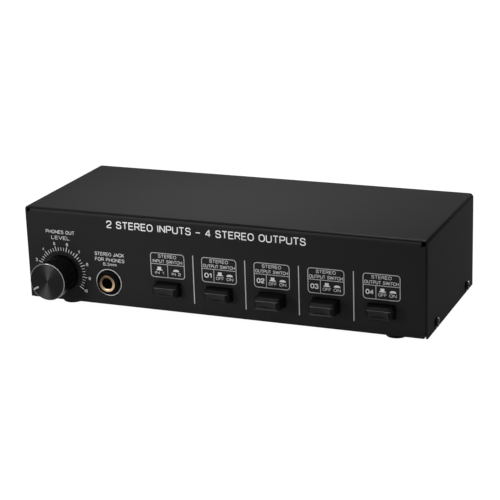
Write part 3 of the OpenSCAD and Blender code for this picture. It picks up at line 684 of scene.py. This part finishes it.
def moulded(name, low, high):
    """The cap's black, with painted light in its colour: dark on the sides as painted shade, a little paler
    on the bevels, paler on the hollow face as if lit, and a painted highlight along the face's upper edge."""
    made, start = coated(name, (0.004, 0.004, 0.004), roughness=0.38, specular=0.025)
    skin = grain(start, 0.25 * MM)
    x, y, z = axes_of(start)
    centre, half = (low + high) / 2, (high - low) / 2
    aside, aloft = start.math("ABSOLUTE", x - centre.x), start.math("ABSOLUTE", z - centre.z)
    # Painted light: the front and bevels are a little paler than the sides and the face is paler still, with
    # a painted highlight along the face's upper edge.
    front = under(y, low.y + bevel_y)
    face = under(aside, half.x - bevel_x) * under(aloft, half.z - bevel_z)
    crest = start.math("ABSOLUTE", z - (high.z - bevel_z))
    edge = under(crest, crest_half) * under(aside, half.x - crest_inset) * front
    painted_light = front * 0.04 + face * 0.22 + edge * 0.85 + grain(start, 6 * MM) * 0.02
    feed(made, Base_Color=tint(start, painted_light, (0.0028, 0.0028, 0.0029), (0.08, 0.08, 0.081)),
         Roughness=skin * 0.1 + 0.34, Normal=bumped(start, skin, distance=0.012 * MM, strength=0.4))
    return made


def cap_surface(low, high, corner=10, count=120):
    """Rounded rectangles carried from the back of a cap to its face and drawn in to the middle of the
    face. Each is a superellipse |x/a|^n + |z/b|^n = 1. The face is hollowed by 1 - (x/a)^2 of the hollow's
    depth, except for a rim above and below."""
    centre = (low + high) / 2
    a, b = (high.x - low.x) / 2, (high.z - low.z) / 2
    t = np.linspace(0, 2 * math.pi, count, endpoint=False)
    c, s = np.cos(t), np.sin(t)
    shape = np.stack([np.sign(c) * np.abs(c) ** (2 / corner), np.sign(s) * np.abs(s) ** (2 / corner)], -1)
    face_a, face_b = a - bevel_x, b - bevel_z
    rails = softened([(0, 0, high.y), (a, b, high.y), (a, b, low.y + bevel_y), (face_a, face_b, low.y)],
                     np.array([0, 0.3, 0.35, 0]) * MM)
    shrink = np.array([0.985, 0.96, 0.9, 0.8, 0.6, 0.4, 0.2, 0])
    inner = np.stack([shrink * face_a, shrink * face_b, shrink * 0 + low.y], 1)
    rings = np.concatenate([rails, inner])
    x = rings[:, :1] * shape[:, 0]
    z = rings[:, 1:2] * shape[:, 1]
    inside = np.clip((face_b - np.abs(z)) / hollow_rim, 0, 1)
    dish = hollow * np.clip(1 - (x / face_a) ** 2, 0, 1) * inside
    on_face = (np.arange(len(rings)) >= len(rails))[:, None]
    return np.stack([centre.x + x, rings[:, 2:] + dish * on_face, centre.z + z], -1)


for name in buttons:
    low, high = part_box(name + "_button")
    surface(cap_surface(low, high), name + "_cap", moulded(name + "_black", low, high), name + "_button",
            [name + "_button"], smooth=50)

# Screws
# Steel pan-head screws with a cross recess. Those of the cover are blacked and sit low on its sides,
# those of the feet and of the terminal blocks are zinc plated.
head_r, head_h, head_rim, shank_r = 2.9 * MM, 2 * MM, 0.7 * MM, 1.45 * MM
cross_w, cross_l, cross_wall, cross_taper, cross_depth, cross_turn = 0.17, 0.62, 0.05, 0.8, 1.5 * MM, 0.5


def pan_head(at, out, up, length, rows=26, count=72):
    """A screw in the frame (side, up, out): a head whose dome rises over its rim by the root of
    1 - (r/R)^4, with a tapered cross cut into it, then the rim, and a shank that ends in a point. The
    cross's width, length and walls are parts of the head's radius."""
    out, up = np.array(out, float), np.array(up, float)
    side = np.cross(up, out)
    t = np.linspace(0, 2 * math.pi, count, endpoint=False)
    r = np.linspace(0, 1, rows)[:, None]
    dome = head_rim + (head_h - head_rim) * np.sqrt(np.clip(1 - r ** 4, 0, 1)) + 0 * t
    p, q = r * np.cos(t + cross_turn), r * np.sin(t + cross_turn)
    cross = np.zeros_like(dome)
    for along, across in ((p, q), (q, p)):
        walls = np.clip((cross_w - np.abs(across)) / cross_wall, 0, 1)
        taper = np.clip((cross_l - np.abs(along)) / (cross_l * cross_taper), 0, 1)
        cross = np.maximum(cross, walls * taper)
    height = dome - cross_depth * cross
    grid = [np.stack([r * head_r * np.cos(t), r * head_r * np.sin(t), height], -1)]
    for radius, level in ((head_r, 0), (shank_r, 0), (shank_r, shank_r - length), (0, -length)):
        grid.append(np.stack([radius * np.cos(t), radius * np.sin(t), level + 0 * t], -1)[None])
    local = np.concatenate(grid)[::-1]
    return np.array(at) + local[..., :1] * side + local[..., 1:2] * up + local[..., 2:] * out


def metal(name, dark, light, roughness):
    """Plated or blacked steel: cloudy in tone, with fine scuffs."""
    made, start = coated(name, light, roughness, specular=0.5, metallic=1.0)
    cloud, scuff = grain(start, 1.5 * MM), grain(start, 0.12 * MM)
    feed(made, Base_Color=tint(start, cloud, dark, light), Roughness=scuff * 0.2 + (roughness - 0.1),
         Normal=bumped(start, scuff, distance=0.004 * MM, strength=0.4))
    return made


blacked = metal("blacked_steel", (0.0025, 0.0025, 0.0025), (0.0055, 0.0055, 0.0056), roughness=0.4)
plated = metal("zinc_plate", (0.42, 0.42, 0.43), (0.62, 0.62, 0.63), roughness=0.32)
screw_low, screw_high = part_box("cover_screws")
cover_screw_z, cover_screw_l = (screw_low.z + screw_high.z) / 2, 6 * MM
surface([pan_head((side * cover_high.x, y, cover_screw_z), (side, 0, 0), (0, 0, 1), cover_screw_l)
         for side in (-1, 1) for y in (screw_low.y + head_r, screw_high.y - head_r)],
        "cover_screw_set", blacked, "case", ["cover_screws"], smooth=40)

# Rubber feet
# Four moulded rubber discs under the bottom, a little narrower at the floor. Each is held by a zinc
# plated screw that is sunk into its hollow.
rubber, start = coated("black_rubber", (0.012, 0.012, 0.012), roughness=0.8, specular=0.02)
feed(rubber, Base_Color=tint(start, grain(start, 4 * MM), (0.009, 0.009, 0.009), (0.02, 0.02, 0.02)),
     Normal=bumped(start, grain(start, 0.3 * MM), distance=0.03 * MM, strength=0.6))
feet_low, feet_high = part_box("rubber_feet")
foot_r, foot_h, pocket_r, pocket_h = 7 * MM, feet_high.z, 3.4 * MM, 2.5 * MM


def upright(profile, x, y, count=72):
    """A profile of (radius, z) points carried round the upright axis through (x, y)."""
    t = np.linspace(0, 2 * math.pi, count, endpoint=False)
    r, z = profile[:, :1], profile[:, 1:]
    return np.stack([x + r * np.sin(t), y + r * np.cos(t), z + 0 * t], -1)


pad = softened([(0, pocket_h), (pocket_r, pocket_h), (pocket_r, 0), (foot_r - 0.8 * MM, 0),
                (foot_r - 0.2 * MM, foot_h * 0.7), (foot_r, foot_h * 0.75), (foot_r, foot_h), (0, foot_h)],
               np.array([0, 0.3, 0.3, 0.8, 0.2, 0.2, 0.1, 0]) * MM)
foot_spots = [(x, y) for x in (feet_low.x + foot_r, feet_high.x - foot_r)
              for y in (feet_low.y + foot_r, feet_high.y - foot_r)]
surface([upright(pad, x, y) for x, y in foot_spots], "foot_set", rubber, "case", ["rubber_feet"])
surface([pan_head((x, y, pocket_h), (0, 0, -1), (0, 1, 0), foot_h + sheet_t) for x, y in foot_spots],
        "foot_screw_set", plated, "case", ["foot_screws"], smooth=40)

# Terminal blocks
# Six moulded blocks on the rear panel, two for the inputs and four for the outputs. Each has four
# pockets with a sprung lever and a wire hole under it, and two screws hold it.
moulding, start = coated("terminal_moulding", (0.01, 0.01, 0.01), roughness=0.36, specular=0.2)
feed(moulding, Base_Color=tint(start, grain(start, 8 * MM), (0.009, 0.009, 0.009), (0.017, 0.017, 0.017)),
     Roughness=grain(start, 1 * MM) * 0.12 + 0.3,
     Normal=bumped(start, grain(start, 0.3 * MM), distance=0.008 * MM, strength=0.4))
eased("terminal_blocks", "terminal_mouldings", moulding, width=0.3 * MM, angle=40)
blocks = ["in_1", "in_2", "out_1", "out_2", "out_3", "out_4"]
rear_y, flange_t = case_high.y, 2.5 * MM
block_x = [(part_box(f"lever_{b}_left_red")[0].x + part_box(f"lever_{b}_right_red")[1].x) / 2 for b in blocks]
ear_low, ear_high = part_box("terminal_screws")
flange_y = rear_y + flange_t
surface([pan_head((x, flange_y, z), (0, 1, 0), (0, 0, 1), flange_y - ear_low.y)
         for x in block_x for z in (ear_low.z + head_r, ear_high.z - head_r)],
        "terminal_screw_set", plated, "case", ["terminal_screws"], smooth=40)


def lever_finish(name, dark, light):
    """Glossy coloured plastic, a little cloudy in tone and in gloss."""
    made, start = coated(name, light, roughness=0.3, specular=0.5)
    feed(made, Base_Color=tint(start, grain(start, 3 * MM), dark, light),
         Roughness=grain(start, 1 * MM) * 0.14 + 0.24)
    return made


finishes = {"red": lever_finish("red_lever", (0.36, 0.008, 0.01), (0.52, 0.014, 0.016)),
            "black": lever_finish("black_lever", (0.008, 0.008, 0.008), (0.016, 0.016, 0.016))}


def slab(outline, x0, x1, ease):
    """A closed outline of (y, z) points carried from x0 to x1, drawn in by ease at both ends towards its
    own middle, and closed there."""
    centre = outline.mean(0)
    size = np.abs(outline - centre).max()
    shoulder = 0.3 * ease
    rows = [(x0, 0), (x0, 1 - ease / size), (x0 + shoulder, 1 - shoulder / size), (x0 + ease, 1),
            (x1 - ease, 1), (x1 - shoulder, 1 - shoulder / size), (x1, 1 - ease / size), (x1, 0)]
    return np.stack([np.c_[np.full(len(outline), x), centre + (outline - centre) * k] for x, k in rows])


barrel_r, lever_len, lever_half, tip_r, lift = 2.2 * MM, 10.5 * MM, 1.0 * MM, 1.1 * MM, math.radians(30)
lever_w, lever_ease = 10.2 * MM, 0.4 * MM
rib_h, rib_pitch, rib_start, rib_end = 0.25 * MM, 1.7 * MM, 4.6 * MM, lever_len - 1.2 * MM
upper_root, upper_tip, lower_root, lower_tip = 4.2 * MM, lever_len - 0.9 * MM, 3.4 * MM, lever_len - 1 * MM


def lever_outline():
    """A lever's side view in its own frame: round the barrel, along the tongue with grip ribs on its upper
    side, which are the upper halves of a sine wave, and round the bead at its tip. It is then turned up
    by its angle at rest."""
    t = np.radians(np.linspace(35, 325, 28))
    barrel = barrel_r * np.stack([np.cos(t), np.sin(t)], 1)
    t = np.radians(np.linspace(-90, 90, 14))
    bead = (lever_len, 0) + tip_r * np.stack([np.cos(t), np.sin(t)], 1)
    along = np.linspace(upper_tip, upper_root, 40)
    wave = np.sin((along - rib_start) / rib_pitch * 2 * math.pi)
    upper = np.stack([along, lever_half + rib_h * np.clip(wave, 0, 1) * (along <= rib_end)], 1)
    lower = np.array([(lower_root, -lever_half * 0.9), (lower_tip, -lever_half)])
    c, s = math.cos(lift), math.sin(lift)
    return np.concatenate([barrel, lower, bead, upper]) @ np.array([(c, s), (-s, c)])


for block in blocks:
    for channel in ("right", "left"):
        for colour in ("black", "red"):
            node = f"lever_{block}_{channel}_{colour}"
            low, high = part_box(node)
            axle = np.array([low.y + barrel_r, low.z + barrel_r])
            x0 = (low.x + high.x - lever_w) / 2
            surface(slab(lever_outline() + axle, x0, x0 + lever_w, lever_ease), node + "_tab",
                    finishes[colour], node, [node], smooth=30)

# Printed legends on the back
# The same white ink, in one row over the blocks: the kind and number of each block, and the channel
# of each column beside it.
marks = Print()
row_v, block_cap, channel_cap = 54.6, 1.9, 1.5
for name, x in zip(blocks, block_x):
    kind, number = name.split("_")
    marks.words(f"{kind.upper()} {number}", -x / MM, row_v, block_cap)
    for channel in ("right", "left"):
        cell_low, cell_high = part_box(f"lever_{name}_{channel}_red")
        marks.words(channel[0].upper(), -(cell_low.x + cell_high.x) / 2 / MM, row_v, channel_cap)
marks.onto("rear_legends", white_ink, "white_paint", -1, 1, rear_y)

# Inner parts
# Circuit boards, switches, the level control and the jack's housing, as bought and soldered. They don't
# show with the cover on, so the nodes keep their shapes and only take a finish.


def plain(name, dark, light, size, roughness):
    """A plain finish that is cloudy in tone, in lumps of the size given, and more finely in gloss."""
    made, start = coated(name, light, roughness, specular=0.4)
    feed(made, Base_Color=tint(start, grain(start, size), dark, light),
         Roughness=grain(start, size / 3) * 0.16 + (roughness - 0.08))
    return made


inner = {
    "board_green": plain("solder_mask", (0.02, 0.12, 0.04), (0.035, 0.18, 0.07), 6 * MM, roughness=0.35),
    "steel": plated,
    "grey_housing": plain("grey_housing", (0.10, 0.11, 0.12), (0.15, 0.16, 0.17), 5 * MM, roughness=0.5),
    "black_housing": plain("black_housing", (0.014, 0.014, 0.015), (0.026, 0.026, 0.028), 5 * MM,
                           roughness=0.45),
    "gilt": gilt,
    "ceramic": plain("fired_ceramic", (0.66, 0.63, 0.55), (0.80, 0.78, 0.71), 1.5 * MM, roughness=0.7),
    "ribbon_grey": plain("grey_ribbon", (0.30, 0.30, 0.31), (0.42, 0.42, 0.43), 1.2 * MM, roughness=0.5),
    "plunger_ivory": plain("ivory_plunger", (0.62, 0.60, 0.52), (0.76, 0.74, 0.66), 3 * MM, roughness=0.45),
}
for part in frame["record"]["subparts"]:
    node = CAD[part["node"]]
    if not node.hide_render:
        node.material_slots[0].link = "OBJECT"
        node.material_slots[0].material = inner[part["material_slot"]]
